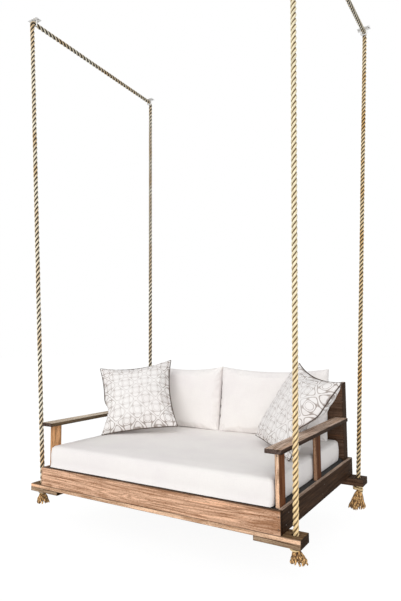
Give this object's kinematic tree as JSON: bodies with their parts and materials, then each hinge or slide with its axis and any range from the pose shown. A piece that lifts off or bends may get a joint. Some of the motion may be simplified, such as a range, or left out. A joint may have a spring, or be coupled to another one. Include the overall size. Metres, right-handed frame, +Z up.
{
  "type": "hanging daybed swing",
  "caption": "Wooden daybed swing with arms, slatted seat, mattress and cushions, hung from the ceiling on two thick knotted ropes.",
  "frame": {"origin": "in the ceiling plane that the top faces of the four ceiling plates touch, above the centre of the bed frame", "axes": "+Z up, +Y from the open front towards the back boards, +X to the right as seen from the front"},
  "size_m": [2.562, 1.758, 4.2099],
  "materials": {
    "lit_wood": "oiled, weathered reddish brown boards with open grain",
    "dark_wood": "dark brown stained boards with open grain",
    "deck_wood": "plain sawn pine",
    "manila": "golden three-strand natural fibre rope",
    "white_steel": "white painted steel",
    "white_cloth": "off-white woven cotton",
    "patterned_cloth": "off-white cotton with a taupe trellis"
  },
  "bodies": {
    "ceiling": {"front_left_plate": "white_steel", "front_right_plate": "white_steel", "rear_left_plate": "white_steel", "rear_right_plate": "white_steel", "front_left_stirrup": "white_steel", "front_right_stirrup": "white_steel", "rear_left_stirrup": "white_steel", "rear_right_stirrup": "white_steel", "left_ceiling_run": "manila", "right_ceiling_run": "manila"},
    "front_ropes": {"front_left_fall": "manila", "front_right_fall": "manila"},
    "rear_ropes": {"rear_left_fall": "manila", "rear_right_fall": "manila"},
    "bed": {"front_rail": "lit_wood", "rear_rail": "dark_wood", "left_side_rail": "dark_wood", "right_side_rail": "dark_wood", "front_beam": "lit_wood", "rear_beam": "lit_wood", "front_left_block": "dark_wood", "front_right_block": "dark_wood", "rear_left_block": "dark_wood", "rear_right_block": "dark_wood", "left_arm": "dark_wood", "right_arm": "dark_wood", "left_front_post": "dark_wood", "right_front_post": "dark_wood", "left_middle_slat": "dark_wood", "right_middle_slat": "dark_wood", "left_rear_post": "dark_wood", "right_rear_post": "dark_wood", "back_board_1": "dark_wood", "back_board_2": "dark_wood", "back_board_3": "dark_wood", "back_board_4": "dark_wood", "front_cleat": "deck_wood", "rear_cleat": "deck_wood", "centre_bearer": "deck_wood", "seat_slat_01": "deck_wood", "seat_slat_02": "deck_wood", "seat_slat_03": "deck_wood", "seat_slat_04": "deck_wood", "seat_slat_05": "deck_wood", "seat_slat_06": "deck_wood", "seat_slat_07": "deck_wood", "seat_slat_08": "deck_wood", "seat_slat_09": "deck_wood", "seat_slat_10": "deck_wood", "seat_slat_11": "deck_wood", "front_left_rope_end": "manila", "front_right_rope_end": "manila", "rear_left_rope_end": "manila", "rear_right_rope_end": "manila"},
    "mattress": {"mattress": "white_cloth"},
    "left_back_cushion": {"left_back_cushion": "white_cloth"},
    "right_back_cushion": {"right_back_cushion": "white_cloth"},
    "left_pillow": {"left_pillow": "patterned_cloth"},
    "right_pillow": {"right_pillow": "patterned_cloth"}
  },
  "joints": [
    {"name": "swing", "type": "hinge", "parent": "ceiling", "child": "front_ropes", "pos_m": [0, -0.828, -0.0761], "axis": [1, 0, 0], "range_deg": [-10, 10]},
    {"name": "rear_ropes_swing", "type": "hinge", "parent": "ceiling", "child": "rear_ropes", "pos_m": [0, 0.892, -0.0761], "axis": [1, 0, 0], "range_deg": [-10.2, 10.2]},
    {"name": "bed_tilt", "type": "hinge", "parent": "front_ropes", "child": "bed", "pos_m": [0, -0.715, -3.957], "axis": [1, 0, 0], "range_deg": [-12.2, 12.2]},
    {"name": "mattress_lift", "type": "slide", "parent": "bed", "child": "mattress", "axis": [0, 0, 1], "range_m": [0, 0.14]},
    {"name": "left_back_cushion_lift", "type": "slide", "parent": "mattress", "child": "left_back_cushion", "axis": [0, 0, 1], "range_m": [0, 0.5]},
    {"name": "right_back_cushion_lift", "type": "slide", "parent": "mattress", "child": "right_back_cushion", "axis": [0, 0, 1], "range_m": [0, 0.5]},
    {"name": "left_pillow_lift", "type": "slide", "parent": "left_back_cushion", "child": "left_pillow", "axis": [0, 0, 1], "range_m": [0, 0.3]},
    {"name": "right_pillow_lift", "type": "slide", "parent": "right_back_cushion", "child": "right_pillow", "axis": [0, 0, 1], "range_m": [0, 0.3]}
  ],
  "couplings": [
    {"joint": "rear_ropes_swing", "follows": "swing", "ratio": 1},
    {"joint": "bed_tilt", "follows": "swing", "ratio": -1.1991}
  ]
}
